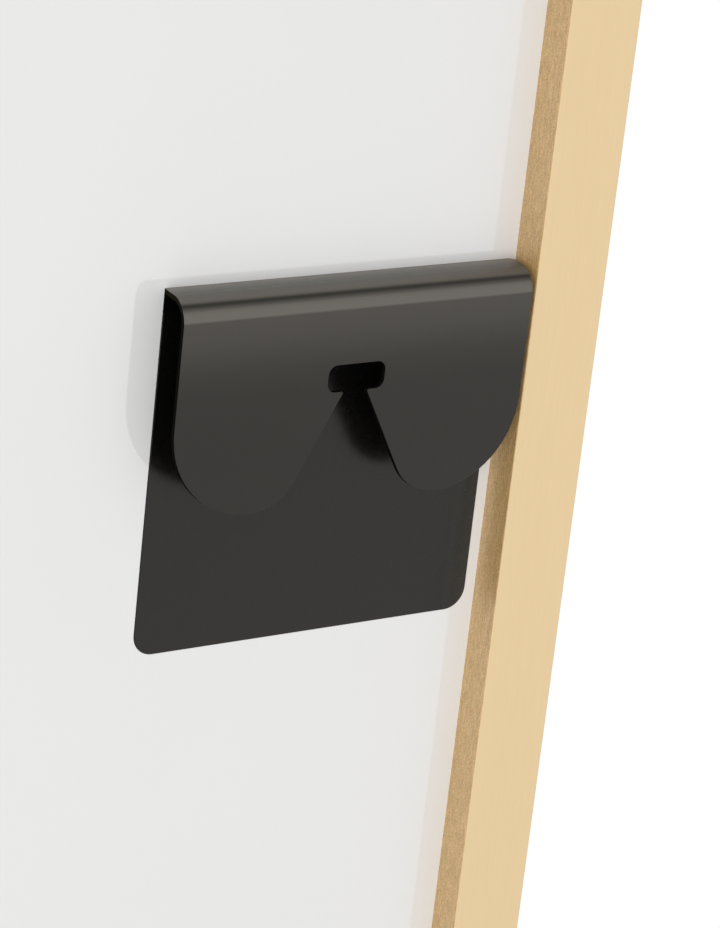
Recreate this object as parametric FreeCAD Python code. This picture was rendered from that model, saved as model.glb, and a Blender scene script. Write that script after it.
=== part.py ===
import FreeCAD, Part
import math
import os

# Full-length framed mirror that stands on the floor and hooks to a wall, in millimetres.
# X runs across the mirror, the reflecting side faces -Y and Z is up.
# The origin is the middle of the bounding box, at floor level.
# Left and right are as seen by someone looking into the mirror.

# Frame, an aluminium extrusion mitred at the corners
frame_width = 530.0
frame_height = 1630.0
profile_wall = 1.6
lip_width = 8.0
lip_thickness = 1.5
rear_face_width = 17.3
recess_depth = 7.85
edge_radius = 0.45
mitre_gap = 0.1

# Layers that the frame holds, from the front to the back
tape_thickness = 0.5
glass_thickness = 4.0
film_thickness = 0.2
core_thickness = 8.2
panel_thickness = 3.0
layer_edge_gap = 2.0
tape_setback = 1.0

# Corner keys inside the rear box of the profile, and their screws
key_leg = 45.0
key_clearance = 0.1
key_tip_radius = 1.5
screw_diameter = 3.0
screw_head_diameter = 5.5
screw_tip_gap = 0.6
screw_clearance = 0.05
screw_from_tip = 8.0
screw_pitch = 16.0
cross_span = 2.8
cross_width = 0.7
cross_depth = 0.8

# Setting blocks under the layers, and pads under the frame
block_length = 60.0
block_from_side = 110.0
block_clearance = 0.2
pad_length = 40.0
pad_width = 14.0
pad_thickness = 2.5
pad_edge_radius = 0.8
pad_from_side = 70.0

# Hanging brackets, folded from sheet, with their plates let into the back panel and bonded there
sheet_thickness = 1.2
bracket_width = 80.2
plate_side_inset = 0.8
fold_flare = 1.0
fold_flare_radius = 1.2
bracket_height = 75.2
bracket_reach = 10.3
bracket_side_gap = 1.8
bracket_from_top = 150.0
bend_radius = 4.8
heel_radius = 0.6
plate_corner_radius = 4.5
flap_drop = 44.1
lobe_outer_radius = 18.4
lobe_inner_radius = 10.8
notch_angle = 28.3
throat_width = 5.2
slot_width = 13.1
slot_height = 5.5
slot_corner_radius = 1.9
slot_from_top = 18.2
adhesive_thickness = 0.5
adhesive_margin = 3.0
plate_proud = 0.15
pocket_gap = 0.1

# Depths from the front of the frame
glass_front = lip_thickness + tape_thickness
film_front = glass_front + glass_thickness
core_front = film_front + film_thickness
panel_front = core_front + core_thickness
panel_rear = panel_front + panel_thickness
frame_depth = panel_rear + recess_depth
plate_face = panel_rear + plate_proud
plate_rear = plate_face - sheet_thickness
pocket_floor = plate_rear - adhesive_thickness
flap_face = plate_rear + bracket_reach
overall_depth = max(frame_depth, flap_face)

# Distances inwards from the outer edge of the frame
sheet_inset = profile_wall + layer_edge_gap
cavity_far = rear_face_width - profile_wall
cavity_middle = rear_face_width / 2
tape_width = lip_width - tape_setback - sheet_inset
key_near = profile_wall + key_clearance
key_far = cavity_far - key_clearance
key_tip = key_near + key_leg

# Depths of the hollow in the rear box
cavity_front = panel_rear + profile_wall
cavity_rear = frame_depth - profile_wall

# Places in the part's own axes
front = -overall_depth / 2
half_width = frame_width / 2
frame_bottom = pad_thickness
frame_top = frame_bottom + frame_height
bracket_x = half_width - rear_face_width - bracket_side_gap - bracket_width / 2
bracket_bottom = frame_top - bracket_from_top - bracket_height

# Corners in the order of the rails that start from them, each a quarter turn on from the one before
CORNERS = (
    ("bottom_left", -half_width, frame_bottom),
    ("bottom_right", half_width, frame_bottom),
    ("top_right", half_width, frame_top),
    ("top_left", -half_width, frame_top),
)
RAILS = (
    ("bottom_rail", "bottom", frame_width),
    ("right_stile", "right", frame_height),
    ("top_rail", "top", frame_width),
    ("left_stile", "left", frame_height),
)
QUARTER_TURN_DEGREES = 90
SIDES = (("left", -1), ("right", 1))
SHORTEST_EDGE = 1e-6

Vector = FreeCAD.Vector
ORIGIN = Vector(0, 0, 0)
ALONG_X = Vector(1, 0, 0)
ALONG_Y = Vector(0, 1, 0)
ALONG_Z = Vector(0, 0, 1)


def rounded_wire(corners):
    """Close a wire through (point, radius) corners, with a tangent arc at each one that has a radius."""
    stretches = []
    for i, (corner, radius) in enumerate(corners):
        if radius <= 0:
            stretches.append((corner, None, corner))
            continue
        back = (corners[i - 1][0] - corner).normalize()
        on = (corners[(i + 1) % len(corners)][0] - corner).normalize()
        half_angle = back.getAngle(on) / 2
        tangent = radius / math.tan(half_angle)
        towards_centre = (back + on).normalize()
        middle = corner + towards_centre * (radius / math.sin(half_angle) - radius)
        stretches.append((corner + back * tangent, middle, corner + on * tangent))
    edges = []
    for i, (start, middle, end) in enumerate(stretches):
        last_end = stretches[i - 1][2]
        if last_end.distanceToPoint(start) > SHORTEST_EDGE:
            edges.append(Part.LineSegment(last_end, start).toShape())
        if middle is not None:
            edges.append(Part.Arc(start, middle, end).toShape())
    return Part.Wire(edges)


def prism(corners, sweep):
    """Extrude a rounded outline along a vector."""
    return Part.Face(rounded_wire(corners)).extrude(sweep)


def section(points):
    """Turn (depth, inward or height, radius) rows into corners of an outline across X."""
    return [(Vector(0, y, z), radius) for y, z, radius in points]


def elevation(points, depth):
    """Turn (across, up, radius) rows into corners of an outline seen from the back."""
    return [(Vector(x, depth, z), radius) for x, z, radius in points]


def plan(points):
    """Turn (across, depth, radius) rows into corners of an outline seen from above."""
    return [(Vector(x, y, 0), radius) for x, y, radius in points]


def both_halves(right):
    """Close the right half of an outline, in (across, other, radius) rows, with its mirror image."""
    left = [(-across, other, radius) for across, other, radius in reversed(right)]
    return right + left


def set_at_corner(shape, index):
    """Turn a shape made at the bottom left corner and move it to the corner of that index."""
    _, x, z = CORNERS[index]
    shape.rotate(ORIGIN, ALONG_Y, -index * QUARTER_TURN_DEGREES)
    shape.translate(Vector(x, front, z))
    return shape


def screw_stations():
    """Distances of a leg's screws from the frame's corner."""
    last = key_tip - screw_from_tip
    return (last - screw_pitch, last)


def countersunk(x, z, radius_gap, length):
    """Countersunk pin that goes in from the rear face of the frame."""
    head = screw_head_diameter / 2 + radius_gap
    shank = screw_diameter / 2 + radius_gap
    head_height = head - shank
    into = ALONG_Y * -1
    cone = Part.makeCone(head, shank, head_height, Vector(x, frame_depth, z), into)
    pin = Part.makeCylinder(shank, length - head_height, Vector(x, frame_depth - head_height, z), into)
    return cone.fuse(pin)


def make_rail(length):
    """Mitred length of the frame profile: front lip, outer wall and hollow rear box."""
    outline = section([
        (0, 0, edge_radius),
        (0, lip_width, edge_radius),
        (lip_thickness, lip_width, 0),
        (lip_thickness, profile_wall, 0),
        (panel_rear, profile_wall, 0),
        (panel_rear, rear_face_width, 0),
        (frame_depth, rear_face_width, edge_radius),
        (frame_depth, 0, edge_radius),
    ])
    hollow = section([
        (cavity_front, profile_wall, 0),
        (cavity_rear, profile_wall, 0),
        (cavity_rear, cavity_far, 0),
        (cavity_front, cavity_far, 0),
    ])
    along = ALONG_X * length
    bar = prism(outline, along).cut(prism(hollow, along))
    setback = mitre_gap / math.sqrt(2)
    mitred = elevation([
        (setback, 0, 0),
        (length - setback, 0, 0),
        (length - setback - rear_face_width, rear_face_width, 0),
        (setback + rear_face_width, rear_face_width, 0),
    ], 0)
    rail = bar.common(prism(mitred, ALONG_Y * frame_depth))
    hole_length = frame_depth - cavity_front
    for station in screw_stations():
        for x in (station, length - station):
            rail = rail.cut(countersunk(x, cavity_middle, screw_clearance, hole_length))
    return rail


def make_corner_key():
    """Flat elbow that fills the hollow of two rails where they meet."""
    depth = cavity_front + key_clearance
    elbow = elevation([
        (key_near, key_near, key_tip_radius),
        (key_tip, key_near, key_tip_radius),
        (key_tip, key_far, key_tip_radius),
        (key_far, key_far, 0),
        (key_far, key_tip, key_tip_radius),
        (key_near, key_tip, key_tip_radius),
    ], depth)
    key = prism(elbow, ALONG_Y * (cavity_rear - key_clearance - depth))
    radius = screw_diameter / 2 + screw_clearance
    for station in screw_stations():
        for x, z in ((station, cavity_middle), (cavity_middle, station)):
            key = key.cut(Part.makeCylinder(radius, frame_depth, Vector(x, 0, z), ALONG_Y))
    return key


def make_corner_screws():
    """Four countersunk screws that hold one corner key, two in each leg."""
    length = frame_depth - cavity_front - screw_tip_gap
    screws = []
    for station in screw_stations():
        for x, z in ((station, cavity_middle), (cavity_middle, station)):
            screw = countersunk(x, z, 0, length)
            for wide, high in ((cross_span, cross_width), (cross_width, cross_span)):
                low = Vector(x - wide / 2, frame_depth - cross_depth, z - high / 2)
                screw = screw.cut(Part.makeBox(wide, cross_depth, high, low))
            screws.append(screw)
    return Part.makeCompound(screws)


def make_glazing_tape(length):
    """Strip between the lip and the glass, which ends against the strip of the next side."""
    run = length - 2 * sheet_inset - tape_width
    return Part.makeBox(run, tape_thickness, tape_width, Vector(sheet_inset, lip_thickness, sheet_inset))


def make_layer(depth, thickness):
    """One full sheet inside the frame."""
    corner = Vector(-half_width + sheet_inset, front + depth, frame_bottom + sheet_inset)
    return Part.makeBox(frame_width - 2 * sheet_inset, thickness, frame_height - 2 * sheet_inset, corner)


def make_setting_block(side):
    """Block in the bottom channel that the layers stand on."""
    depth = panel_rear - lip_thickness - 2 * block_clearance
    middle = side * (half_width - block_from_side)
    near = front + lip_thickness + block_clearance
    corner = Vector(middle - block_length / 2, near, frame_bottom + profile_wall)
    return Part.makeBox(block_length, depth, layer_edge_gap, corner)


def make_floor_pad(side):
    """Round-ended pad under the bottom rail, with its lower edge eased."""
    middle = side * (half_width - pad_from_side)
    end = pad_length / 2
    reach = pad_width / 2
    pad = prism(plan(both_halves([
        (end, -reach, reach),
        (end, reach, reach),
    ])), ALONG_Z * pad_thickness)
    lower_edges = [edge for edge in pad.Edges if edge.BoundBox.ZMax < SHORTEST_EDGE]
    pad = pad.makeFillet(pad_edge_radius, lower_edges)
    pad.translate(Vector(middle, front + frame_depth / 2, 0))
    return pad


def set_on_panel(shape, side):
    """Move a shape made about the bracket's lower middle to its place on the back panel."""
    shape.translate(Vector(side * bracket_x, front, bracket_bottom))
    return shape


def make_back_panel():
    """Sheet that closes the back, with a shallow pocket that each bracket's plate is let into."""
    panel = make_layer(panel_front, panel_thickness)
    half = bracket_width / 2 - plate_side_inset + pocket_gap
    for _, side in SIDES:
        pocket = prism(elevation(both_halves([
            (half, -pocket_gap, plate_corner_radius + pocket_gap),
            (half, bracket_height, 0),
        ]), pocket_floor), ALONG_Y * panel_thickness)
        panel = panel.cut(set_on_panel(pocket, side))
    return panel


def make_hanging_bracket(side):
    """Plate folded over into a wider flap with lobes, notch and screw slot, its fold flared to the stile."""
    half = bracket_width / 2
    plate_half = half - plate_side_inset
    fold_start = bracket_height - bend_radius
    flap_back = flap_face - sheet_thickness
    under_top = bracket_height - sheet_thickness
    plate = prism(elevation(both_halves([
        (plate_half, 0, plate_corner_radius),
        (plate_half, fold_start, 0),
    ]), plate_rear), ALONG_Y * sheet_thickness)
    fold = prism(section([
        (plate_rear, fold_start, 0),
        (plate_rear, bracket_height, heel_radius),
        (flap_face, bracket_height, bend_radius),
        (flap_face, fold_start, 0),
        (flap_back, fold_start, 0),
        (flap_back, under_top, bend_radius - sheet_thickness),
        (plate_face, under_top, 0),
        (plate_face, fold_start, 0),
    ]), ALONG_X * (bracket_width + 2 * fold_flare))
    fold.translate(ALONG_X * -(half + fold_flare))
    spread = plan([
        (-side * plate_half, plate_rear, 0),
        (side * plate_half, plate_rear, 0),
        (side * plate_half, plate_face, 0),
        (side * (half + fold_flare), plate_face, fold_flare_radius),
        (side * half, flap_back, 0),
        (side * half, flap_face, 0),
        (-side * half, flap_face, 0),
        (-side * half, flap_back, 0),
        (-side * plate_half, plate_face, 0),
    ])
    fold = fold.common(prism(spread, ALONG_Z * bracket_height))
    flap = prism(elevation(flap_outline(half, fold_start), flap_back), ALONG_Y * sheet_thickness)
    return set_on_panel(plate.fuse([fold, flap]).removeSplitter(), side)


def flap_outline(half, fold_start):
    """Outline of the flap below the bend, from its right edge round to its left edge."""
    lobe_bottom = bracket_height - flap_drop
    slot_middle = bracket_height - slot_from_top
    slot_low = slot_middle - slot_height / 2
    slot_high = slot_middle + slot_height / 2
    slope = math.radians(notch_angle)
    notch_foot = throat_width / 2 + (slot_low - lobe_bottom) * math.tan(slope)
    inner_tangent = lobe_inner_radius / math.tan((math.pi / 2 + slope) / 2)
    ease = min(1, (half - notch_foot) / (lobe_outer_radius + inner_tangent))
    slot_radius = min(slot_corner_radius, slot_height / 2)
    return both_halves([
        (half, fold_start, 0),
        (half, lobe_bottom, lobe_outer_radius * ease),
        (notch_foot, lobe_bottom, lobe_inner_radius * ease),
        (throat_width / 2, slot_low, 0),
        (slot_width / 2, slot_low, slot_radius),
        (slot_width / 2, slot_high, slot_radius),
    ])


def make_bracket_adhesive(side):
    """Double-sided pad between a bracket's plate and the floor of its pocket."""
    half = bracket_width / 2 - plate_side_inset - adhesive_margin
    radius = plate_corner_radius - adhesive_margin
    top = bracket_height - adhesive_margin
    pad = prism(elevation(both_halves([
        (half, adhesive_margin, radius),
        (half, top, radius),
    ]), pocket_floor), ALONG_Y * adhesive_thickness)
    return set_on_panel(pad, side)


def save(name, shape):
    """Write one named piece."""
    shape.exportStep(f"parts/{name}.step")


def main():
    os.makedirs("parts", exist_ok=True)
    for index, (rail, side, length) in enumerate(RAILS):
        corner = CORNERS[index][0]
        save(rail, set_at_corner(make_rail(length), index))
        save(f"corner_key_{corner}", set_at_corner(make_corner_key(), index))
        save(f"corner_screws_{corner}", set_at_corner(make_corner_screws(), index))
        save(f"glazing_tape_{side}", set_at_corner(make_glazing_tape(length), index))
    save("mirror_glass", make_layer(glass_front, glass_thickness))
    save("safety_film", make_layer(film_front, film_thickness))
    save("foam_core_board", make_layer(core_front, core_thickness))
    save("back_panel", make_back_panel())
    for side, sign in SIDES:
        save(f"setting_block_{side}", make_setting_block(sign))
        save(f"floor_pad_{side}", make_floor_pad(sign))
        save(f"hanging_bracket_{side}", make_hanging_bracket(sign))
        save(f"bracket_adhesive_{side}", make_bracket_adhesive(sign))


main()
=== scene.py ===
import math
from typing import NamedTuple

import bmesh
import bpy
from bpy.props import FloatProperty, FloatVectorProperty, IntProperty, PointerProperty
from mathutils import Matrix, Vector


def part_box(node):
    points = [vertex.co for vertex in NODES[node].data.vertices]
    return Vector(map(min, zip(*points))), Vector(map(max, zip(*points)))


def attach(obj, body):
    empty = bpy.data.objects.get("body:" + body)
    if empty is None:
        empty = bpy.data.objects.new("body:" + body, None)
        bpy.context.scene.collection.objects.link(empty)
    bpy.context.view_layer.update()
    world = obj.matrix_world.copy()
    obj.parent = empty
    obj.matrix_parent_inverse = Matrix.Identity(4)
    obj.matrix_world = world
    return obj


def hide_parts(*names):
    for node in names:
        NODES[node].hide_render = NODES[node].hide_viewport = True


bl_info = {
    "name": "Full-Length Mirror",
    "version": (1, 0, 0),
    "blender": (4, 5, 0),
    "location": "View3D > Sidebar > Mirror",
    "description": "Finishes, brackets, screws and stage of a full-length framed mirror",
    "category": "Object",
}

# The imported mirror, in metres. The reflecting side faces -Y, and Z is up.
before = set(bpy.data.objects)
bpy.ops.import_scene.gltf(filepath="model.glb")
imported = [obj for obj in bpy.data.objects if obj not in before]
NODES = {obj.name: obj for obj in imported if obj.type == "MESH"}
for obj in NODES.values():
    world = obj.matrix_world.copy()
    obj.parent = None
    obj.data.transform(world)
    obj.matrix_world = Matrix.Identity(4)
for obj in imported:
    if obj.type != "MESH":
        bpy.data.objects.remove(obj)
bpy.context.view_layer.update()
BODY = "root"
MM = 0.001

# Sides of the mirror, with the sign of X there, its four edges and the rails along them
SIDES = {"left": -1, "right": 1}
EDGES = ("left", "right", "top", "bottom")
STILES = ("left_stile", "right_stile")
CROSS_RAILS = ("top_rail", "bottom_rail")

# Corners of the frame, with the signs of the ways inwards along X and Z
CORNERS = {
    "bottom_left": (1, 1),
    "bottom_right": (-1, 1),
    "top_left": (1, -1),
    "top_right": (-1, -1),
}

# Material slots of a bracket: the coat of fold and flap, the coat of the plate, the cut edges and the inside.
# The cut edges and the inside get a gloss-free black that stands in for their shade (painted shade).
FOLD, PLATE, EDGE, INSIDE = 0, 1, 2, 3

# Painted light on a bracket's coat, in (millimetres, share of the painted light colour) stops. They run down
# from the bracket's top, outwards from the panel along the flat of the fold, inwards from the plate's stile
# side, and down the cut edges. The fold's stops paint highlight bands across the bend, with a gap between
# them for its dark line, and a lighter top of the flap that fades downwards; the flat's stops paint a lighter
# flat top of the fold; the plate's stops paint a cool lightening that offsets the stile's dark gold
# reflection on the plate; the edge's stops paint a highlight on the cut edges that fades downwards from the
# fold.
FOLD_PAINTED_HIGHLIGHT = (
    (0, 0.39), (0.06, 0.44), (0.25, 0.53), (0.65, 0.54), (0.83, 0.44), (1.0, 0.18),
    (1.15, 0.0), (1.4, 0.0), (1.82, 0.23), (2.3, 0.53), (2.8, 0.59), (3.95, 0.59),
    (4.4, 0.24), (8.5, 0.2), (11, 0.15), (15, 0.08), (20, 0.04), (30, 0.03),
)
FLAT_PAINTED_HIGHLIGHT = ((0, 1.0), (1.0, 0.92), (3.6, 0.39), (4.5, 0.0))
PLATE_PAINTED_LIGHT = ((0, 0.15), (1.5, 0.12), (3.5, 0.04), (6, 0.0))
EDGE_PAINTED_HIGHLIGHT = ((0, 1.0), (1.2, 1.0), (2.5, 0.55), (5, 0.4), (30, 0.35), (42, 0.0))

# How far into a rail the finish of its inner wall reaches
WALL_SKIN = 0.1 * MM

# Turn between two points of the bracket's outline and of its flare
OUTLINE_STEP = math.radians(5)
FLARE_STEP = math.radians(15)

# Angles of the points round the bracket's heel, its bend and its edges
HEEL_ANGLES = [math.radians(degrees) for degrees in range(0, 91, 15)]
BEND_ANGLES = [math.radians(degrees) for degrees in range(0, 90, 3)]
EDGE_ANGLES = [math.radians(degrees) for degrees in range(0, 91, 30)]

# Share of the sheet's thickness by which the flare's side beside the panel leans
FLARE_LEAN = 0.2

# Bracket points nearer than the first are one point, and edges shorter than the second are dropped
SAME_POINT = 1e-7
SHORTEST_EDGE = 1e-8

# How much more than small faces the large ones count in a piece's normals
LARGE_FACE_WEIGHT = 90

# Screws along each leg of a corner, the easing of a screw's edges, and what the tree that sets them is given
SCREWS_PER_LEG = 2
SCREW_EASE = 0.12 * MM
SCREW_INPUTS = {
    "Screw": "Geometry", "Corner": "Vector", "Inward X": "Float", "Inward Z": "Float", "First": "Float",
    "Pitch": "Float", "From edge": "Float", "Seed": "Int", "Finish": "Material",
}

# Shares of the floor's radius between which it fades out, and the sides of its outline
FLOOR_FADE = (0.45, 0.97)
FLOOR_SEGMENTS = 96


class Stuff(NamedTuple):
    """Grain of plain moulded, foamed or pressed stuff: its size and depth in metres, and how it shines."""

    size: float
    depth: float
    roughness: float
    metallic: float = 0.0


STUFFS = {
    "woven_safety_film": Stuff(0.6 * MM, 0.05 * MM, 0.6),
    "closed_cell_foam": Stuff(0.8 * MM, 0.1 * MM, 0.85),
    "foam_glazing_tape": Stuff(0.5 * MM, 0.05 * MM, 0.8),
    "setting_block_rubber": Stuff(0.4 * MM, 0.03 * MM, 0.6),
    "floor_pad_rubber": Stuff(0.5 * MM, 0.04 * MM, 0.7),
    "acrylic_foam_pad": Stuff(0.4 * MM, 0.03 * MM, 0.7),
    "zinc_plated_steel": Stuff(0.8 * MM, 0.004 * MM, 0.32, metallic=1.0),
    "pressed_corner_key": Stuff(0.7 * MM, 0.01 * MM, 0.42, metallic=1.0),
}


class Lamp(NamedTuple):
    """Soft rectangular lamp: its way and distance from the lamps' target, and whether gloss shows it."""

    towards: tuple
    distance: float
    size: tuple
    radiance: float
    gloss: bool


# All lamps face the left bracket
LAMP_TARGET = Vector((-0.2059, 0.0133, 1.45))
LAMPS = {
    "softbox_behind": Lamp((0.62, 1.0, 0.1), 2.6, (2.4, 2.2), 2.6, gloss=False),
    "softbox_ahead": Lamp((0.5, -0.8, 0.35), 3.0, (1.8, 2.0), 1.5, gloss=True),
}


class FrameFinish(bpy.types.PropertyGroup):
    """Brushed and anodised metal of the frame."""

    colour: FloatVectorProperty(
        name="Gold", description="Colour of the anodised metal",
        subtype="COLOR", min=0, max=1, default=(0.83, 0.624, 0.353))
    deep_colour: FloatVectorProperty(
        name="Deep gold", description="Colour at the bottom of the brush lines",
        subtype="COLOR", min=0, max=1, default=(0.793, 0.595, 0.332))
    wall_colour: FloatVectorProperty(
        name="Wall gold", description="Colour of the inner wall, which is drawn and not brushed",
        subtype="COLOR", min=0, max=1, default=(0.70, 0.45, 0.187))
    wall_deep_colour: FloatVectorProperty(
        name="Deep wall gold", description="Colour at the bottom of the inner wall's streaks",
        subtype="COLOR", min=0, max=1, default=(0.42, 0.247, 0.066))
    line_width: FloatProperty(
        name="Line width", description="Width of one brush line",
        unit="LENGTH", min=0.00005, default=0.22 * MM)
    line_length: FloatProperty(
        name="Line length", description="Length of one brush line",
        unit="LENGTH", min=0.001, default=12 * MM)
    line_depth: FloatProperty(
        name="Line depth", description="Depth of the brush lines in the surface",
        unit="LENGTH", min=0, default=0.002 * MM)
    streak_width: FloatProperty(
        name="Streak width", description="Width of one streak of the inner wall",
        unit="LENGTH", min=0.00005, default=0.3 * MM)
    streak_length: FloatProperty(
        name="Streak length", description="Length of one streak of the inner wall",
        unit="LENGTH", min=0.001, default=2.5 * MM)
    metallic: FloatProperty(
        name="Metallic", description="How much the brushed faces shine as bare metal",
        subtype="FACTOR", min=0, max=1, default=0.6)
    roughness: FloatProperty(
        name="Roughness", description="Roughness of the metal between the lines",
        subtype="FACTOR", min=0, max=1, default=0.45)


class PanelFinish(bpy.types.PropertyGroup):
    """Gloss white back panel."""

    colour: FloatVectorProperty(
        name="White", description="Colour of the back panel",
        subtype="COLOR", min=0, max=1, default=(0.80, 0.80, 0.795))
    roughness: FloatProperty(
        name="Roughness", description="Roughness of the gloss face",
        subtype="FACTOR", min=0, max=1, default=0.02)
    wave_length: FloatProperty(
        name="Wave length", description="Distance between the slow waves of the sheet",
        unit="LENGTH", min=0.01, default=90 * MM)
    wave_height: FloatProperty(
        name="Wave height", description="Height of the slow waves of the sheet",
        unit="LENGTH", min=0, default=0.006 * MM)


class MirrorFinish(bpy.types.PropertyGroup):
    """Silvered glass, and what lies behind, round and under it."""

    silver: FloatVectorProperty(
        name="Silver", description="Colour of the reflection",
        subtype="COLOR", min=0, max=1, default=(0.90, 0.92, 0.91))
    film: FloatVectorProperty(
        name="Film", description="Colour of the safety film",
        subtype="COLOR", min=0, max=1, default=(0.42, 0.45, 0.47))
    core: FloatVectorProperty(
        name="Core", description="Colour of the foam core board",
        subtype="COLOR", min=0, max=1, default=(0.86, 0.86, 0.83))
    rubber: FloatVectorProperty(
        name="Rubber", description="Colour of tapes and pads",
        subtype="COLOR", min=0, max=1, default=(0.045, 0.045, 0.046))
    block: FloatVectorProperty(
        name="Block", description="Colour of the setting blocks",
        subtype="COLOR", min=0, max=1, default=(0.0585, 0.0585, 0.0598))


class BracketShape(bpy.types.PropertyGroup):
    """Folded sheet bracket that hooks over a wall screw."""

    sheet: FloatProperty(
        name="Sheet", description="Thickness of the sheet",
        unit="LENGTH", min=0.0005, default=1.2 * MM)
    flap_width: FloatProperty(
        name="Flap width", description="Width of the flap",
        unit="LENGTH", min=0.02, default=80.2 * MM)
    plate_inset: FloatProperty(
        name="Plate inset", description="How far the plate's sides stand in from the flap's sides",
        unit="LENGTH", min=0, default=0.8 * MM)
    flare: FloatProperty(
        name="Flare", description="How far the fold runs out beyond the flap beside the stile",
        unit="LENGTH", min=0, default=1.0 * MM)
    flare_corner: FloatProperty(
        name="Flare corner", description="Radius of the flare's corner beside the panel",
        unit="LENGTH", min=0, default=1.2 * MM)
    bend_radius: FloatProperty(
        name="Bend radius", description="Outer radius of the fold beside the flap",
        unit="LENGTH", min=0.002, default=4.8 * MM)
    heel_radius: FloatProperty(
        name="Heel radius", description="Outer radius of the fold beside the plate",
        unit="LENGTH", min=0.0002, default=0.6 * MM)
    plate_corner: FloatProperty(
        name="Plate corner", description="Radius of the plate's lower corners",
        unit="LENGTH", min=0.001, default=4.5 * MM)
    flap_drop: FloatProperty(
        name="Flap drop", description="Height of the flap from the top to the tips of its lobes",
        unit="LENGTH", min=0.02, default=44.1 * MM)
    lobe_outer: FloatProperty(
        name="Lobe outside", description="Radius of a lobe on its outer side",
        unit="LENGTH", min=0.001, default=18.4 * MM)
    lobe_inner: FloatProperty(
        name="Lobe inside", description="Radius of a lobe beside the notch",
        unit="LENGTH", min=0.001, default=10.8 * MM)
    notch_angle: FloatProperty(
        name="Notch angle", description="Lean of each side of the notch",
        subtype="ANGLE", unit="ROTATION", default=math.radians(28.3))
    throat: FloatProperty(
        name="Throat", description="Width of the throat between notch and slot",
        unit="LENGTH", min=0.001, default=5.2 * MM)
    slot_width: FloatProperty(
        name="Slot width", description="Width of the screw slot",
        unit="LENGTH", min=0.001, default=13.1 * MM)
    slot_height: FloatProperty(
        name="Slot height", description="Height of the screw slot",
        unit="LENGTH", min=0.001, default=5.5 * MM)
    slot_corner: FloatProperty(
        name="Slot corner", description="Radius of the slot's corners",
        unit="LENGTH", min=0.0001, default=1.9 * MM)
    slot_from_top: FloatProperty(
        name="Slot from top", description="Distance from the top of the bracket to the middle of the slot",
        unit="LENGTH", min=0.001, default=18.2 * MM)
    throat_corner: FloatProperty(
        name="Throat corner", description="Radius of the throat's two corners",
        unit="LENGTH", min=0, default=0.35 * MM)
    edge_radius: FloatProperty(
        name="Edge radius", description="Rounding of the coated edges",
        unit="LENGTH", min=0.00005, default=0.12 * MM)
    colour: FloatVectorProperty(
        name="Black", description="Colour of the powder coat",
        subtype="COLOR", min=0, max=1, default=(0.0025, 0.0024, 0.0022))
    gloss_colour: FloatVectorProperty(
        name="Gloss", description="Tint of the coat's gloss",
        subtype="COLOR", size=4, min=0, max=1, default=(1.0, 0.94, 0.86, 1.0))
    # Painted highlight: the colour that the fold and the top of the flap are lightened towards
    painted_light_colour: FloatVectorProperty(
        name="Fold highlight", description="Colour of the painted highlight along the fold",
        subtype="COLOR", min=0, max=1, default=(0.205, 0.19, 0.169))
    # Painted light: the cool colour that the plate's margin beside the stile is lightened towards, offsetting
    # the stile's dark gold reflection in the plate
    plate_painted_light_colour: FloatVectorProperty(
        name="Plate light", description="Colour of the painted light on the plate beside the stile",
        subtype="COLOR", min=0, max=1, default=(0.185, 0.21, 0.22))
    # Painted highlight: the colour that the cut edges are lightened towards near the fold
    edge_highlight_colour: FloatVectorProperty(
        name="Edge highlight", description="Colour of the painted highlight on the cut edges at the fold",
        subtype="COLOR", min=0, max=1, default=(0.0141, 0.012, 0.0085))
    fold_roughness: FloatProperty(
        name="Fold roughness", description="Roughness of the coat on the fold and the flap",
        subtype="FACTOR", min=0, max=1, default=0.4)
    plate_roughness: FloatProperty(
        name="Plate roughness", description="Roughness of the coat on the plate",
        subtype="FACTOR", min=0, max=1, default=0.25)
    adhesive_colour: FloatVectorProperty(
        name="Adhesive", description="Colour of the foam pad that holds the plate",
        subtype="COLOR", min=0, max=1, default=(0.70, 0.70, 0.68))


class ScrewShape(bpy.types.PropertyGroup):
    """Countersunk corner screws, and the keys that they hold."""

    head: FloatProperty(
        name="Head", description="Diameter of the head",
        unit="LENGTH", min=0.001, default=5.5 * MM)
    shank: FloatProperty(
        name="Shank", description="Diameter of the shank",
        unit="LENGTH", min=0.001, default=3 * MM)
    cross_span: FloatProperty(
        name="Cross span", description="Span of the cross recess",
        unit="LENGTH", min=0.0005, default=2.8 * MM)
    cross_width: FloatProperty(
        name="Cross width", description="Width of each arm of the cross recess",
        unit="LENGTH", min=0.0002, default=0.7 * MM)
    cross_depth: FloatProperty(
        name="Cross depth", description="Depth of the cross recess",
        unit="LENGTH", min=0.0002, default=0.8 * MM)
    first: FloatProperty(
        name="First screw", description="Distance of the first screw from the corner of the frame",
        unit="LENGTH", min=0.001, default=22.7 * MM)
    pitch: FloatProperty(
        name="Pitch", description="Distance between two screws of one leg",
        unit="LENGTH", min=0.001, default=16 * MM)
    from_edge: FloatProperty(
        name="From edge", description="Distance of the screws from the outer edge of the frame",
        unit="LENGTH", min=0.001, default=8.65 * MM)
    seed: IntProperty(
        name="Seed", description="Seed for how far each screw is turned", min=0, default=4)
    zinc_colour: FloatVectorProperty(
        name="Zinc", description="Colour of the plated screws",
        subtype="COLOR", min=0, max=1, default=(0.62, 0.61, 0.58))
    key_colour: FloatVectorProperty(
        name="Key", description="Colour of the corner keys",
        subtype="COLOR", min=0, max=1, default=(0.58, 0.58, 0.57))


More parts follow.
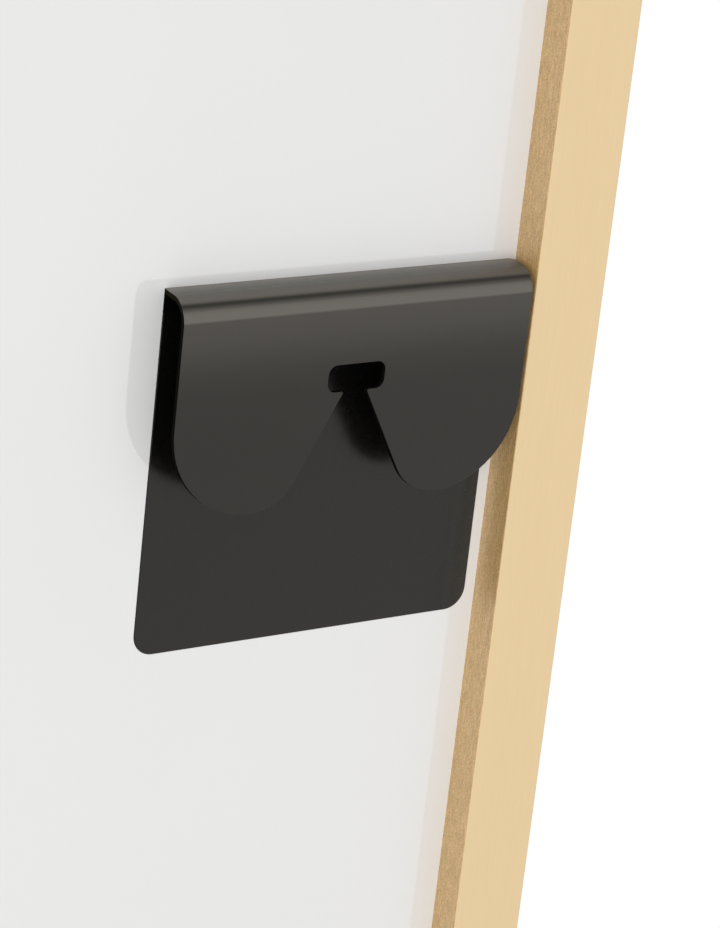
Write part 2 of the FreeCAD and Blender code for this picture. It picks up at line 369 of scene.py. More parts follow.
class StageSettings(bpy.types.PropertyGroup):
    """Floor, light and camera."""

    floor_colour: FloatVectorProperty(
        name="Floor", description="Colour of the floor",
        subtype="COLOR", min=0, max=1, default=(0.78, 0.78, 0.77))
    floor_radius: FloatProperty(
        name="Floor radius", description="Radius at which the floor has faded out",
        unit="LENGTH", min=0.5, default=2.2)
    fill: FloatProperty(
        name="Fill", description="Strength of the even light from all round", min=0, default=0.55)
    lamp_scale: FloatProperty(
        name="Lamps", description="Share of full strength that every lamp burns at", min=0, default=1.0)
    camera_place: FloatVectorProperty(
        name="Camera place", description="Where the camera stands",
        subtype="TRANSLATION", unit="LENGTH", default=(0.15869, 0.529871, 1.672527))
    camera_turn: FloatVectorProperty(
        name="Camera turn", description="How the camera is turned",
        subtype="EULER", unit="ROTATION",
        default=tuple(math.radians(angle) for angle in (70.2242, -6.0279, 146.7311)))
    lens: FloatProperty(
        name="Lens", description="Focal length in millimetres on a 36 mm sensor", min=10, default=133.8)


class Finish:
    """A node material that grows round one Principled shader."""

    def __init__(self, name):
        self.material = bpy.data.materials.new(name)
        self.material.use_nodes = True
        self.tree = self.material.node_tree
        self.shader = self.tree.nodes["Principled BSDF"]
        self.coords = self.add("ShaderNodeTexCoord").outputs["Object"]

    def add(self, kind, **settings):
        """Add a node and set its own settings."""
        node = self.tree.nodes.new(kind)
        for name, value in settings.items():
            setattr(node, name, value)
        return node

    def join(self, start, end):
        self.tree.links.new(start, end)

    def feed(self, socket, value):
        """Join another node to a socket, or set the socket to a number or colour."""
        if isinstance(value, bpy.types.NodeSocket):
            self.join(value, socket)
        else:
            socket.default_value = value

    def constants(self, **values):
        """Set numbers and colours that are the same all over the surface."""
        for name, value in values.items():
            self.shader.inputs[name.replace("_", " ")].default_value = value

    def drive(self, socket, value):
        """Join a colour or number to a socket of the shader."""
        self.join(value, self.shader.inputs[socket])

    def place(self, axis):
        """The part's own coordinate along one axis."""
        split = self.add("ShaderNodeSeparateXYZ")
        self.join(self.coords, split.inputs[0])
        return split.outputs[axis]

    def compute(self, operation, *values):
        """One step of arithmetic on numbers or on what other nodes give."""
        node = self.add("ShaderNodeMath", operation=operation)
        for socket, value in zip(node.inputs, values):
            self.feed(socket, value)
        return node.outputs[0]

    def distance(self, coordinate, start):
        """How far a coordinate is from its start, either way."""
        return self.compute("ABSOLUTE", self.compute("SUBTRACT", coordinate, start))

    def noise(self, cell, detail=2.0, roughness=0.5):
        """Noise with a cell of the given size, or of a size for each axis, in metres."""
        sizes = cell if hasattr(cell, "__len__") else (cell, cell, cell)
        mapping = self.add("ShaderNodeMapping")
        mapping.inputs["Scale"].default_value = [1 / size for size in sizes]
        noise = self.add("ShaderNodeTexNoise", noise_dimensions="3D")
        noise.inputs["Scale"].default_value = 1
        noise.inputs["Detail"].default_value = detail
        noise.inputs["Roughness"].default_value = roughness
        self.join(self.coords, mapping.inputs["Vector"])
        self.join(mapping.outputs["Vector"], noise.inputs["Vector"])
        return noise.outputs["Fac"]

    def streaks(self, axis, width, length, **quality):
        """Noise that is drawn out along one axis."""
        return self.noise([length if name == axis else width for name in "XYZ"], **quality)

    def ramp(self, factor, low, high, span=(0.3, 0.7)):
        """Run from one colour or number to another while the factor crosses a span."""
        colour = hasattr(high, "__len__") or getattr(high, "type", "") in ("RGBA", "VECTOR")
        node = self.add("ShaderNodeMapRange", data_type="FLOAT_VECTOR" if colour else "FLOAT")
        sockets = {socket.identifier: socket for socket in node.inputs}
        suffix, joint = ("_FLOAT3", "_") if colour else ("", " ")
        self.join(factor, sockets["Vector" if colour else "Value"])
        for end, edge, value in (("Min", span[0], low), ("Max", span[1], high)):
            sockets[f"From{joint}{end}{suffix}"].default_value = (edge,) * 3 if colour else edge
            self.feed(sockets[f"To{joint}{end}{suffix}"], value)
        return node.outputs["Vector" if colour else "Result"]

    def blend(self, share, low, high):
        """Mix two colours or numbers by a share from 0 to 1."""
        return self.ramp(share, low, high, span=(0, 1))

    def profile(self, coordinate, start, stops):
        """Share that follows (millimetres, share) stops as a coordinate moves away from its start."""
        reach = stops[-1][0]
        curve = self.add("ShaderNodeValToRGB")
        points = curve.color_ramp.elements
        while len(points) < len(stops):
            points.new(1.0)
        for point, (distance, share) in zip(points, stops):
            point.position = distance / reach
            point.color = (share, share, share, 1)
        away = self.compute("DIVIDE", self.distance(coordinate, start), reach * MM)
        self.join(away, curve.inputs["Fac"])
        return curve.outputs["Color"]

    def rough(self, factor, middle, below, above):
        """Let the roughness wander round its middle with a factor."""
        self.drive("Roughness", self.ramp(factor, max(0, middle - below), middle + above))

    def bump(self, height, distance):
        """Raise the surface by a share of a distance in metres."""
        node = self.add("ShaderNodeBump")
        node.inputs["Distance"].default_value = distance
        self.join(height, node.inputs["Height"])
        self.drive("Normal", node.outputs["Normal"])


def shade(colour, factor):
    """A colour made darker or lighter."""
    return tuple(min(1, part * factor) for part in colour)


def brushed_gold(name, settings, along, across, inner_faces):
    """Anodised metal brushed along one axis, with a streaky inner wall between two faces on another axis."""
    finish = Finish(name)
    low, high = inner_faces
    from_middle = finish.distance(finish.place(across), (low + high) / 2)
    wall = finish.compute("LESS_THAN", from_middle, (high - low) / 2 + WALL_SKIN)
    lines = finish.streaks(along, settings.line_width, settings.line_length, detail=3, roughness=0.6)
    drawn = finish.streaks(along, settings.streak_width, settings.streak_length, detail=3, roughness=0.7)
    wear = finish.compute("ADD", drawn, finish.noise(settings.streak_width, detail=3))
    face_colour = finish.ramp(lines, settings.deep_colour, settings.colour)
    wall_colour = finish.ramp(wear, settings.wall_deep_colour, settings.wall_colour, span=(0.8, 1.2))
    finish.constants(IOR=1.7, Specular_IOR_Level=1.0)
    finish.drive("Base Color", finish.blend(wall, face_colour, wall_colour))
    finish.drive("Metallic", finish.blend(wall, settings.metallic, 0.0))
    broad = finish.streaks(along, 20 * MM, 300 * MM)
    finish.rough(broad, settings.roughness, below=0.03, above=0.03)
    finish.bump(lines, settings.line_depth)
    return finish.material


def gloss_white(settings):
    """Smooth sheet with slow waves that bend its reflections a little."""
    finish = Finish("gloss_white_panel")
    finish.constants(IOR=1.5, Specular_IOR_Level=0.95)
    cloud = finish.noise(60 * MM, detail=3)
    finish.drive("Base Color", finish.ramp(cloud, shade(settings.colour, 0.99), settings.colour))
    finish.rough(finish.noise(4 * MM), settings.roughness, below=0.01, above=0.01)
    finish.bump(finish.noise(settings.wave_length, detail=0), settings.wave_height)
    return finish.material


def powder_coat(name, settings, painted_light_colour, roughness, painted_light_of):
    """Satin black powder coat with a fine orange peel, lightened towards a painted light colour by a
    function's share.
    """
    finish = Finish(name)
    finish.constants(IOR=1.5, Specular_IOR_Level=0.44, Specular_Tint=settings.gloss_colour)
    cloud = finish.noise(2 * MM, detail=4)
    coat = finish.ramp(cloud, shade(settings.colour, 0.8), shade(settings.colour, 1.2))
    # Painted light: blends the coat towards its painted light colour
    finish.drive("Base Color", finish.blend(painted_light_of(finish), coat, painted_light_colour))
    finish.rough(finish.noise(1.5 * MM), roughness, below=0.02, above=0.03)
    finish.bump(finish.noise(0.9 * MM, detail=1), 0.0012 * MM)
    return finish.material


def painted_shade_black(name, settings, painted_light_of=None):
    """Gloss-free black as painted shade, lightened towards a painted highlight by a function's share, if any.
    """
    finish = Finish(name)
    finish.constants(Specular_IOR_Level=0.0)
    speck = finish.noise(0.6 * MM, detail=3)
    black = finish.ramp(speck, shade(settings.colour, 0.6), settings.colour)
    if painted_light_of:
        black = finish.blend(painted_light_of(finish), black, settings.edge_highlight_colour)
    finish.drive("Base Color", black)
    finish.drive("Roughness", finish.ramp(speck, 0.55, 0.7))
    return finish.material


def silvered_glass(settings):
    """Mirror with the faintest clouds in its silver."""
    finish = Finish("silvered_glass")
    finish.constants(Metallic=1.0)
    cloud = finish.noise(200 * MM)
    finish.drive("Base Color", finish.ramp(cloud, shade(settings.silver, 0.99), settings.silver))
    finish.rough(finish.noise(30 * MM), 0.009, below=0.003, above=0.003)
    return finish.material


def moulded(name, colour):
    """Plain stuff in a colour, with the grain that it is listed with."""
    stuff = STUFFS[name]
    finish = Finish(name)
    finish.constants(Metallic=stuff.metallic)
    speck = finish.noise(stuff.size, detail=3)
    finish.drive("Base Color", finish.ramp(speck, shade(colour, 0.88), shade(colour, 1.1)))
    finish.rough(finish.noise(5 * stuff.size), stuff.roughness, below=0.05, above=0.05)
    finish.bump(speck, stuff.depth)
    return finish.material


def dress(nodes, material):
    """Give CAD nodes their finish."""
    for name in nodes:
        slots = NODES[name].data.materials
        slots.clear()
        slots.append(material)


def settle(name, mesh, node):
    """Fix a smooth mesh to the mirror in place of its CAD node, with normals that follow its large faces."""
    piece = bpy.data.objects.new(name, mesh)
    bpy.context.scene.collection.objects.link(piece)
    mesh.polygons.foreach_set("use_smooth", [True] * len(mesh.polygons))
    weighted = piece.modifiers.new("large_faces_first", "WEIGHTED_NORMAL")
    weighted.mode = "FACE_AREA"
    weighted.weight = LARGE_FACE_WEIGHT
    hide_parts(node)
    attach(piece, BODY)


def finished_mesh(bm, name):
    """Turn a closed shape's faces outwards and make it a mesh."""
    bmesh.ops.recalc_face_normals(bm, faces=bm.faces)
    mesh = bpy.data.meshes.new(name)
    bm.to_mesh(mesh)
    bm.free()
    return mesh


def rounded(corners, step=OUTLINE_STEP):
    """Points along an open outline of (across, up, radius) corners, with arcs where there is a radius."""
    points = [Vector(corner[:2]) for corner in corners]
    line = [points[0]]
    for i in range(1, len(points) - 1):
        radius = corners[i][2]
        if radius <= 0:
            line.append(points[i])
            continue
        back = (points[i - 1] - points[i]).normalized()
        on = (points[i + 1] - points[i]).normalized()
        half = back.angle(on) / 2
        centre = points[i] + (back + on).normalized() * (radius / math.sin(half))
        start = points[i] + back * (radius / math.tan(half)) - centre
        end = points[i] + on * (radius / math.tan(half)) - centre
        turn = start.angle_signed(end)
        count = max(2, round(abs(turn) / step))
        for k in range(count + 1):
            angle = turn * k / count
            turned = Vector((
                start.x * math.cos(angle) + start.y * math.sin(angle),
                start.y * math.cos(angle) - start.x * math.sin(angle)))
            line.append(centre + turned)
    line.append(points[-1])
    return line


def inward_normals(line):
    """Vectors that move each point of an outline one unit inwards, square to both of its sides."""
    normals = []
    for i, point in enumerate(line):
        sides = []
        if i > 0:
            sides.append((point - line[i - 1]).normalized())
        if i < len(line) - 1:
            sides.append((line[i + 1] - point).normalized())
        across = [Vector((side.y, -side.x)) for side in sides]
        middle = sum(across, Vector((0, 0))).normalized()
        normals.append(middle / middle.dot(across[0]))
    return normals


def flap_line(shape, half, top, fold_start):
    """Outline of the flap from its right edge below the bend, round the lobes, to its left edge."""
    lobe_bottom = top - shape.flap_drop
    slot_low = top - shape.slot_from_top - shape.slot_height / 2
    slot_high = slot_low + shape.slot_height
    foot = shape.throat / 2 + (slot_low - lobe_bottom) * math.tan(shape.notch_angle)
    right = [
        (half, fold_start, 0),
        (half, lobe_bottom, shape.lobe_outer),
        (foot, lobe_bottom, shape.lobe_inner),
        (shape.throat / 2, slot_low, shape.throat_corner),
        (shape.slot_width / 2, slot_low, shape.slot_corner),
        (shape.slot_width / 2, slot_high, shape.slot_corner),
    ]
    return rounded(right + [(-across, up, radius) for across, up, radius in reversed(right)])


def plate_line(shape, half, fold_start):
    """Outline of the plate from its left edge below the fold, round the bottom, to its right edge."""
    return rounded([
        (-half, fold_start, 0),
        (-half, 0, shape.plate_corner),
        (half, 0, shape.plate_corner),
        (half, fold_start, 0),
    ])


def side_line(shape, half, reach, flared):
    """(Half width, depth) points along one side of the fold, from the plate to the flap."""
    inner, sheet = half - shape.plate_inset, shape.sheet
    if not flared:
        return [Vector((inner, sheet)), Vector((half, reach - sheet))]
    return rounded([
        (inner, (1 - FLARE_LEAN) * sheet, 0),
        (half + shape.flare, sheet, shape.flare_corner),
        (half, reach - sheet, 0),
    ], FLARE_STEP)


def width_at(line, depth):
    """Half width that a side line has at a depth."""
    for start, end in zip(line, line[1:]):
        if start.y <= depth <= end.y:
            return start.lerp(end, (depth - start.y) / (end.y - start.y)).x
    return line[0].x if depth < line[0].y else line[-1].x


def fold_path(shape, reach, top, flat_depths):
    """Depth and height of outer and inner points along the fold, from the plate to the flap."""
    sheet, heel, bend = shape.sheet, shape.heel_radius, shape.bend_radius
    path = []
    for angle in HEEL_ANGLES:
        outer = (heel - heel * math.cos(angle), top - heel + heel * math.sin(angle))
        path.append((outer, (sheet, top - sheet)))
    path += [((depth, top), (max(depth, sheet), top - sheet)) for depth in flat_depths]
    centre = Vector((reach - bend, top - bend))
    for angle in BEND_ANGLES:
        out = Vector((math.sin(angle), math.cos(angle)))
        path.append((tuple(centre + out * bend), tuple(centre + out * (bend - sheet))))
    return path


def bracket_stations(shape, reach, top, stile):
    """Outer point, inner point and inward way at each step round the bracket, and the steps per stretch."""
    sheet, half = shape.sheet, shape.flap_width / 2
    fold_start = top - shape.bend_radius
    plate = plate_line(shape, half - shape.plate_inset, fold_start)
    flap = flap_line(shape, half, top, fold_start)
    sides = {sign: side_line(shape, half, reach, flared=sign == stile) for sign in (1, -1)}
    fold = fold_path(shape, reach, top, [point.y for point in sides[stile][:-1]])
    stations = []

    def add_flat(line, outer, inner, turn):
        for point, inward in zip(line, inward_normals(line)):
            stations.append((
                Vector((point.x, outer, point.y)), Vector((point.x, inner, point.y)),
                turn * Vector((inward.x, 0, inward.y))))

    def add_fold(path, sign):
        for ends in path:
            outer, inner = (
                Vector((sign * width_at(sides[sign], depth), depth, up)) for depth, up in ends)
            stations.append((outer, inner, Vector((-sign, 0, 0))))

    add_flat(plate, 0, sheet, -1)
    add_fold(fold, 1)
    add_flat(flap, reach, reach - sheet, 1)
    add_fold(fold[::-1], -1)
    return stations, (len(plate), len(fold), len(flap))


def bracket_mesh(name, shape, low, high, stile):
    """Closed mesh of one bracket: plate, fold and flap of one sheet, with rounded edges all round."""
    sheet, radius = shape.sheet, shape.edge_radius
    inner_side = low.x if stile > 0 else high.x
    base = Vector((inner_side + stile * shape.flap_width / 2, low.y, low.z))
    size = high - low
    stations, (plate_end, fold_steps, flap_steps) = bracket_stations(shape, size.y, size.z, stile)
    flap_start = plate_end + fold_steps
    flap_end = flap_start + flap_steps
    arc = [(radius * (1 - math.sin(a)), radius * (1 - math.cos(a))) for a in EDGE_ANGLES]
    cut = len(arc) - 1
    rows = arc + [(inset, sheet - depth) for inset, depth in reversed(arc)]
    bm = bmesh.new()

    def face(corners, slot):
        bm.faces.new(corners).material_index = slot

    def edge_slot(row, on_plate):
        if row == cut:
            return EDGE
        if row < cut:
            return INSIDE if on_plate else FOLD
        return PLATE if on_plate else INSIDE

    # Rows of points round the sheet's edge, from its outer face to its inner face
    rings = []
    for inset, depth in rows:
        rings.append([
            bm.verts.new(base + outer.lerp(inner, depth / sheet) + inward * inset)
            for outer, inner, inward in stations])
    for row, (ring, following) in enumerate(zip(rings, rings[1:])):
        for i in range(len(stations)):
            on = (i + 1) % len(stations)
            face((ring[i], ring[on], following[on], following[i]), edge_slot(row, i < plate_end - 1))

    # The two faces of the sheet, each in a plate, a strip over the fold and a flap
    for skin, fold_slot in ((rings[0], FOLD), (rings[-1], INSIDE)):
        face(skin[:plate_end], PLATE)
        face(skin[flap_start:flap_end], fold_slot)
        right = skin[plate_end - 1:flap_start + 1]
        left = [skin[0]] + skin[:flap_end - 2:-1]
        for i in range(len(right) - 1):
            face((right[i], right[i + 1], left[i + 1], left[i]), fold_slot)
    bmesh.ops.remove_doubles(bm, verts=bm.verts, dist=SAME_POINT)
    bmesh.ops.dissolve_degenerate(bm, edges=bm.edges, dist=SHORTEST_EDGE)
    return finished_mesh(bm, name)


def cross_line(arm, width):
    """(Across, up) points round a cross recess with eased tips, from the length and half width of an arm."""
    tip_width, tip_start, arm_middle = 0.8 * width, 0.93 * arm, 0.5 * arm
    quarter = [
        (arm, 0), (arm, tip_width), (tip_start, width), (arm_middle, width),
        (width, width), (width, arm_middle), (width, tip_start), (tip_width, arm),
    ]
    line = []
    for cos, sin in ((1, 0), (0, 1), (-1, 0), (0, -1)):
        line += [(x * cos - z * sin, x * sin + z * cos) for x, z in quarter]
    return line


def screw_mesh(shape, length):
    """One countersunk screw with a cross recess, with its head at the origin and its tip along -Y."""
    head, shank = shape.head / 2, shape.shank / 2
    cross = cross_line(shape.cross_span / 2, shape.cross_width / 2)
    count = len(cross)
    ease = SCREW_EASE

    def circle(radius, depth):
        angles = [2 * math.pi * i / count for i in range(count)]
        return [Vector((radius * math.cos(angle), -depth, radius * math.sin(angle))) for angle in angles]

    def recess(share, depth):
        return [Vector((x * share, -depth, z * share)) for x, z in cross]

    # Loops from the floor of the recess, over the head, to the tip
    loops = [
        recess(0.55, shape.cross_depth),
        recess(0.9, 0.25 * shape.cross_depth),
        recess(1.0, 0.0),
        circle(head - 2 * ease, 0.0),
        circle(head - 0.6 * ease, 0.35 * ease),
        circle(head, ease),
        circle(shank, ease + head - shank),
        circle(shank, length - 2 * ease),
        circle(shank - 2 * ease, length),
    ]
    bm = bmesh.new()
    rings = [[bm.verts.new(point) for point in loop] for loop in loops]
    for ring, following in zip(rings, rings[1:]):
        for i in range(count):
            on = (i + 1) % count
            bm.faces.new((ring[i], ring[on], following[on], following[i]))
    bm.faces.new(rings[0])
    bm.faces.new(rings[-1])
    return finished_mesh(bm, "corner_screw")


def screw_tree():
    """Node tree that sets its screw along the two legs of a frame corner, each turned by chance."""
    tree = bpy.data.node_groups.new("Screws round a corner", "GeometryNodeTree")
    for name, kind in SCREW_INPUTS.items():
        tree.interface.new_socket(name, in_out="INPUT", socket_type=f"NodeSocket{kind}")
    tree.interface.new_socket("Screws", in_out="OUTPUT", socket_type="NodeSocketGeometry")
    add, join = tree.nodes.new, tree.links.new
    given = add("NodeGroupInput").outputs
    points = add("GeometryNodeJoinGeometry")

    def times(a, b):
        node = add("ShaderNodeMath")
        node.operation = "MULTIPLY"
        join(a, node.inputs[0])
        join(b, node.inputs[1])
        return node.outputs[0]

    def vector(**parts):
        node = add("ShaderNodeCombineXYZ")
        for axis, value in parts.items():
            join(value, node.inputs[axis])
        return node.outputs[0]

    def leg(start, offset):
        place = add("ShaderNodeVectorMath")
        join(given["Corner"], place.inputs[0])
        join(start, place.inputs[1])
        line = add("GeometryNodeMeshLine")
        line.mode = "OFFSET"
        line.inputs["Count"].default_value = SCREWS_PER_LEG
        join(place.outputs[0], line.inputs["Start Location"])
        join(offset, line.inputs["Offset"])
        join(line.outputs[0], points.inputs[0])

    x, z = given["Inward X"], given["Inward Z"]
    first, edge, pitch = given["First"], given["From edge"], given["Pitch"]
    leg(vector(X=times(x, first), Z=times(z, edge)), vector(X=times(x, pitch)))
    leg(vector(X=times(x, edge), Z=times(z, first)), vector(Z=times(z, pitch)))
    chance = add("FunctionNodeRandomValue")
    chance.data_type = "FLOAT_VECTOR"
    ends = {socket.identifier: socket for socket in chance.inputs}
    ends["Min"].default_value = (0, 0, 0)
    ends["Max"].default_value = (0, math.pi / 2, 0)
    join(given["Seed"], ends["Seed"])
    turn = add("FunctionNodeEulerToRotation")
    join(chance.outputs["Value"], turn.inputs[0])
    copies = add("GeometryNodeInstanceOnPoints")
    join(points.outputs[0], copies.inputs["Points"])
    join(given["Screw"], copies.inputs["Instance"])
    join(turn.outputs[0], copies.inputs["Rotation"])
    real = add("GeometryNodeRealizeInstances")
    join(copies.outputs[0], real.inputs[0])
    finish = add("GeometryNodeSetMaterial")
    join(real.outputs[0], finish.inputs["Geometry"])
    join(given["Finish"], finish.inputs["Material"])
    join(finish.outputs[0], add("NodeGroupOutput").inputs[0])
    return tree


def grown_mesh(context, name, mesh, tree, values):
    """Plain mesh that a node tree makes from a mesh, with the tree's inputs set by name."""
    maker = bpy.data.objects.new(name, mesh)
    context.scene.collection.objects.link(maker)
    nodes = maker.modifiers.new("grow", "NODES")
    nodes.node_group = tree
    inputs = {item.name: item.identifier for item in tree.interface.items_tree if item.in_out == "INPUT"}
    for socket, value in values.items():
        nodes[inputs[socket]] = value
    context.view_layer.update()
    evaluated = maker.evaluated_get(context.evaluated_depsgraph_get())
    grown = bpy.data.meshes.new_from_object(evaluated)
    bpy.data.objects.remove(maker)
    return grown


def lay_floor(scene, settings):
    """Round pale floor that fades out into the background."""
    bm = bmesh.new()
    bmesh.ops.create_circle(bm, cap_ends=True, segments=FLOOR_SEGMENTS, radius=settings.floor_radius)
    mesh = bpy.data.meshes.new("floor")
    bm.to_mesh(mesh)
    bm.free()
    floor = bpy.data.objects.new("floor", mesh)
    scene.collection.objects.link(floor)
    finish = Finish("pale_floor")
    finish.constants(Roughness=0.6, Specular_IOR_Level=0.2)
    pale = settings.floor_colour
    finish.drive("Base Color", finish.ramp(finish.noise(0.2), shade(pale, 0.99), pale))
    from_middle = finish.add("ShaderNodeVectorMath", operation="LENGTH")
    finish.join(finish.coords, from_middle.inputs[0])
    fade = finish.add("ShaderNodeMapRange", interpolation_type="SMOOTHERSTEP")
    finish.join(from_middle.outputs["Value"], fade.inputs["Value"])
    for socket, share in zip(("From Min", "From Max"), FLOOR_FADE):
        fade.inputs[socket].default_value = share * settings.floor_radius
    clear = finish.add("ShaderNodeBsdfTransparent")
    mix = finish.add("ShaderNodeMixShader")
    finish.join(fade.outputs["Result"], mix.inputs["Fac"])
    finish.join(finish.shader.outputs["BSDF"], mix.inputs[1])
    finish.join(clear.outputs["BSDF"], mix.inputs[2])
    finish.join(mix.outputs["Shader"], finish.tree.nodes["Material Output"].inputs["Surface"])
    mesh.materials.append(finish.material)


def light_world(scene, settings):
    """Even light from all round, which the camera and reflections see as plain white."""
    world = bpy.data.worlds.new("white_studio")
    world.use_nodes = True
    scene.world = world
    nodes, join = world.node_tree.nodes, world.node_tree.links.new
    background = nodes["Background"]
    background.inputs["Color"].default_value = (1, 1, 1, 1)
    rays = nodes.new("ShaderNodeLightPath").outputs
    seen = nodes.new("ShaderNodeMath")
    seen.operation = "MAXIMUM"
    join(rays["Is Camera Ray"], seen.inputs[0])
    join(rays["Is Glossy Ray"], seen.inputs[1])
    strength = nodes.new("ShaderNodeMapRange")
    join(seen.outputs[0], strength.inputs["Value"])
    strength.inputs["To Min"].default_value = settings.fill
    strength.inputs["To Max"].default_value = 1.0
    join(strength.outputs["Result"], background.inputs["Strength"])


def hang_softboxes(scene, settings):
    """Soft lamps round the mirror, which the camera doesn't see."""
    for name, plan in LAMPS.items():
        towards = Vector(plan.towards).normalized()
        data = bpy.data.lights.new(name, "AREA")
        data.shape = "RECTANGLE"
        data.size, data.size_y = plan.size
        data.energy = settings.lamp_scale * plan.radiance * math.pi * plan.size[0] * plan.size[1]
        lamp = bpy.data.objects.new(name, data)
        lamp.location = LAMP_TARGET + towards * plan.distance
        lamp.rotation_euler = towards.to_track_quat("Z", "Y").to_euler()
        lamp.visible_camera = False
        lamp.visible_glossy = plan.gloss
        scene.collection.objects.link(lamp)


def place_camera(scene, settings):
    """Camera at the photograph's viewing angle."""
    data = bpy.data.cameras.new("camera")
    data.lens = settings.lens
    camera = bpy.data.objects.new("camera", data)
    camera.location = settings.camera_place
    camera.rotation_euler = settings.camera_turn
    scene.collection.objects.link(camera)
    scene.camera = camera


class MIRROR_OT_frame_rails(bpy.types.Operator):
    """Brush and anodise the four rails of the frame"""

    bl_idname = "mirror.frame_rails"
    bl_label = "Frame Rails"

    def execute(self, context):
        settings = context.scene.mirror_frame
        sides = (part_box("left_stile")[1].x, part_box("right_stile")[0].x)
        ends = (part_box("bottom_rail")[1].z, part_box("top_rail")[0].z)
        dress(STILES, brushed_gold("brushed_gold_stile", settings, "Z", "X", sides))
        dress(CROSS_RAILS, brushed_gold("brushed_gold_rail", settings, "X", "Z", ends))
        return {"FINISHED"}


class MIRROR_OT_mirror_layers(bpy.types.Operator):
    """Finish the mirror glass and the layers, tapes and blocks that hold it"""

    bl_idname = "mirror.mirror_layers"
    bl_label = "Mirror and Layers"

    def execute(self, context):
        settings = context.scene.mirror_glass
        dress(["mirror_glass"], silvered_glass(settings))
        dress(["safety_film"], moulded("woven_safety_film", settings.film))
        dress(["foam_core_board"], moulded("closed_cell_foam", settings.core))
        tape = moulded("foam_glazing_tape", settings.rubber)
        dress([f"glazing_tape_{edge}" for edge in EDGES], tape)
        block = moulded("setting_block_rubber", settings.block)
        dress([f"setting_block_{side}" for side in SIDES], block)
        return {"FINISHED"}


class MIRROR_OT_back_panel(bpy.types.Operator):
    """Finish the gloss white back panel"""

    bl_idname = "mirror.back_panel"
    bl_label = "Back Panel"

    def execute(self, context):
        dress(["back_panel"], gloss_white(context.scene.mirror_panel))
        return {"FINISHED"}


class MIRROR_OT_hanging_brackets(bpy.types.Operator):
    """Fold the two hanging brackets and bond them into the back panel"""

    bl_idname = "mirror.hanging_brackets"
    bl_label = "Hanging Brackets"

    def execute(self, context):
        shape = context.scene.mirror_bracket
        low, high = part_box("hanging_bracket_right")
        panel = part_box("back_panel")[1].y
        plate_side = low.x + shape.flap_width - shape.plate_inset

        # Painted highlight on the fold: bands across the bend, a lighter top of the flap and a lighter flat
        # top
        def fold_painted_highlight(finish):
            down = finish.profile(finish.place("Z"), high.z, FOLD_PAINTED_HIGHLIGHT)
            outwards = finish.profile(finish.place("Y"), panel, FLAT_PAINTED_HIGHLIGHT)
            return finish.compute("MAXIMUM", down, outwards)

        # Painted light on the plate's margin beside the stile, which offsets the stile's dark gold reflection
        def plate_painted_light(finish):
            from_middle = finish.compute("ABSOLUTE", finish.place("X"))
            return finish.profile(from_middle, plate_side, PLATE_PAINTED_LIGHT)

        # Painted highlight on the cut edges, strongest near the fold and fading downwards
        def edge_painted_highlight(finish):
            return finish.profile(finish.place("Z"), high.z, EDGE_PAINTED_HIGHLIGHT)

        finishes = {
            FOLD: powder_coat(
                "powder_coat_on_fold", shape, shape.painted_light_colour, shape.fold_roughness, fold_painted_highlight),
            PLATE: powder_coat(
                "powder_coat_on_plate", shape, shape.plate_painted_light_colour, shape.plate_roughness, plate_painted_light),
            # Gloss-free black on the cut edges and inside as painted shade, with a painted highlight on the
            # edges near the fold
            EDGE: painted_shade_black("painted_shade_edge", shape, edge_painted_highlight),
            INSIDE: painted_shade_black("painted_shade_inside", shape),
        }
        pad = moulded("acrylic_foam_pad", shape.adhesive_colour)
        for side, stile in SIDES.items():
            node = f"hanging_bracket_{side}"
            name = f"folded_bracket_{side}"
            mesh = bracket_mesh(name, shape, *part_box(node), stile)
            for slot in sorted(finishes):
                mesh.materials.append(finishes[slot])
            settle(name, mesh, node)
            dress([f"bracket_adhesive_{side}"], pad)
        return {"FINISHED"}


class MIRROR_OT_corner_screws(bpy.types.Operator):
    """Set the countersunk screws round the four corners, and finish the keys that they hold"""

    bl_idname = "mirror.corner_screws"
    bl_label = "Corner Screws"

    def execute(self, context):
        shape = context.scene.mirror_screw
        zinc = moulded("zinc_plated_steel", shape.zinc_colour)
        tree = screw_tree()
        low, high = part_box("left_stile")[0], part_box("right_stile")[1]
        for corner, (inward_x, inward_z) in CORNERS.items():
            node = f"corner_screws_{corner}"
            tip, rear = (end.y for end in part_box(node))
            name = f"countersunk_screws_{corner}"
            place = (low.x if inward_x > 0 else high.x, rear, low.z if inward_z > 0 else high.z)
            mesh = grown_mesh(context, name, screw_mesh(shape, rear - tip), tree, {
                "Corner": place,
                "Inward X": float(inward_x),
                "Inward Z": float(inward_z),
                "First": shape.first,
                "Pitch": shape.pitch,
                "From edge": shape.from_edge,
                "Seed": shape.seed,
                "Finish": zinc,
            })
            settle(name, mesh, node)
        key = moulded("pressed_corner_key", shape.key_colour)
        dress([f"corner_key_{corner}" for corner in CORNERS], key)
        return {"FINISHED"}


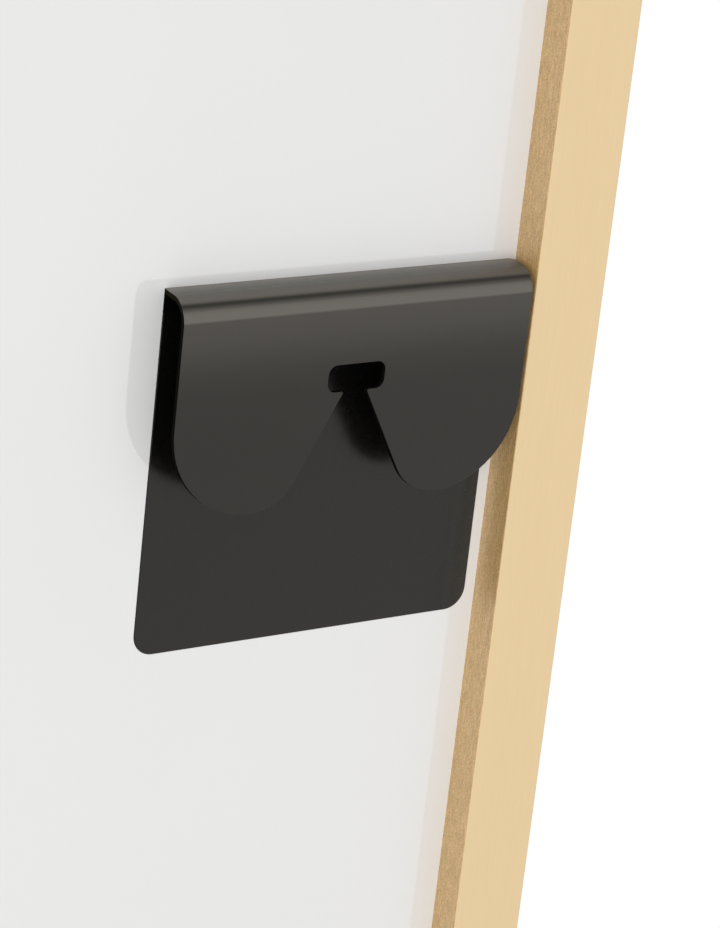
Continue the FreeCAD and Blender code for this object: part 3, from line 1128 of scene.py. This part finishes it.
class MIRROR_OT_floor_pads(bpy.types.Operator):
    """Finish the rubber pads under the bottom rail"""

    bl_idname = "mirror.floor_pads"
    bl_label = "Floor Pads"

    def execute(self, context):
        rubber = moulded("floor_pad_rubber", context.scene.mirror_glass.rubber)
        dress([f"floor_pad_{side}" for side in SIDES], rubber)
        return {"FINISHED"}


class MIRROR_OT_stage(bpy.types.Operator):
    """Lay the floor, light the mirror and place the camera"""

    bl_idname = "mirror.stage"
    bl_label = "Stage"

    def execute(self, context):
        settings = context.scene.mirror_stage
        lay_floor(context.scene, settings)
        light_world(context.scene, settings)
        hang_softboxes(context.scene, settings)
        place_camera(context.scene, settings)
        context.scene.view_settings.view_transform = "Standard"
        return {"FINISHED"}


class MIRROR_PT_pieces(bpy.types.Panel):
    """Sidebar list of the mirror's pieces"""

    bl_idname = "MIRROR_PT_pieces"
    bl_label = "Full-Length Mirror"
    bl_space_type = "VIEW_3D"
    bl_region_type = "UI"
    bl_category = "Mirror"

    def draw(self, context):
        for operator in OPERATORS:
            self.layout.operator(operator.bl_idname)


GROUPS = {
    "mirror_frame": FrameFinish,
    "mirror_panel": PanelFinish,
    "mirror_glass": MirrorFinish,
    "mirror_bracket": BracketShape,
    "mirror_screw": ScrewShape,
    "mirror_stage": StageSettings,
}
OPERATORS = (
    MIRROR_OT_frame_rails,
    MIRROR_OT_mirror_layers,
    MIRROR_OT_back_panel,
    MIRROR_OT_hanging_brackets,
    MIRROR_OT_corner_screws,
    MIRROR_OT_floor_pads,
    MIRROR_OT_stage,
)
CLASSES = (*GROUPS.values(), *OPERATORS, MIRROR_PT_pieces)


def register():
    for cls in CLASSES:
        bpy.utils.register_class(cls)
    for name, group in GROUPS.items():
        setattr(bpy.types.Scene, name, PointerProperty(type=group))


def unregister():
    for name in GROUPS:
        delattr(bpy.types.Scene, name)
    for cls in reversed(CLASSES):
        bpy.utils.unregister_class(cls)


def main():
    register()
    bpy.ops.mirror.frame_rails()
    bpy.ops.mirror.mirror_layers()
    bpy.ops.mirror.back_panel()
    bpy.ops.mirror.hanging_brackets()
    bpy.ops.mirror.corner_screws()
    bpy.ops.mirror.floor_pads()
    bpy.ops.mirror.stage()


if __name__ == "__main__":
    main()
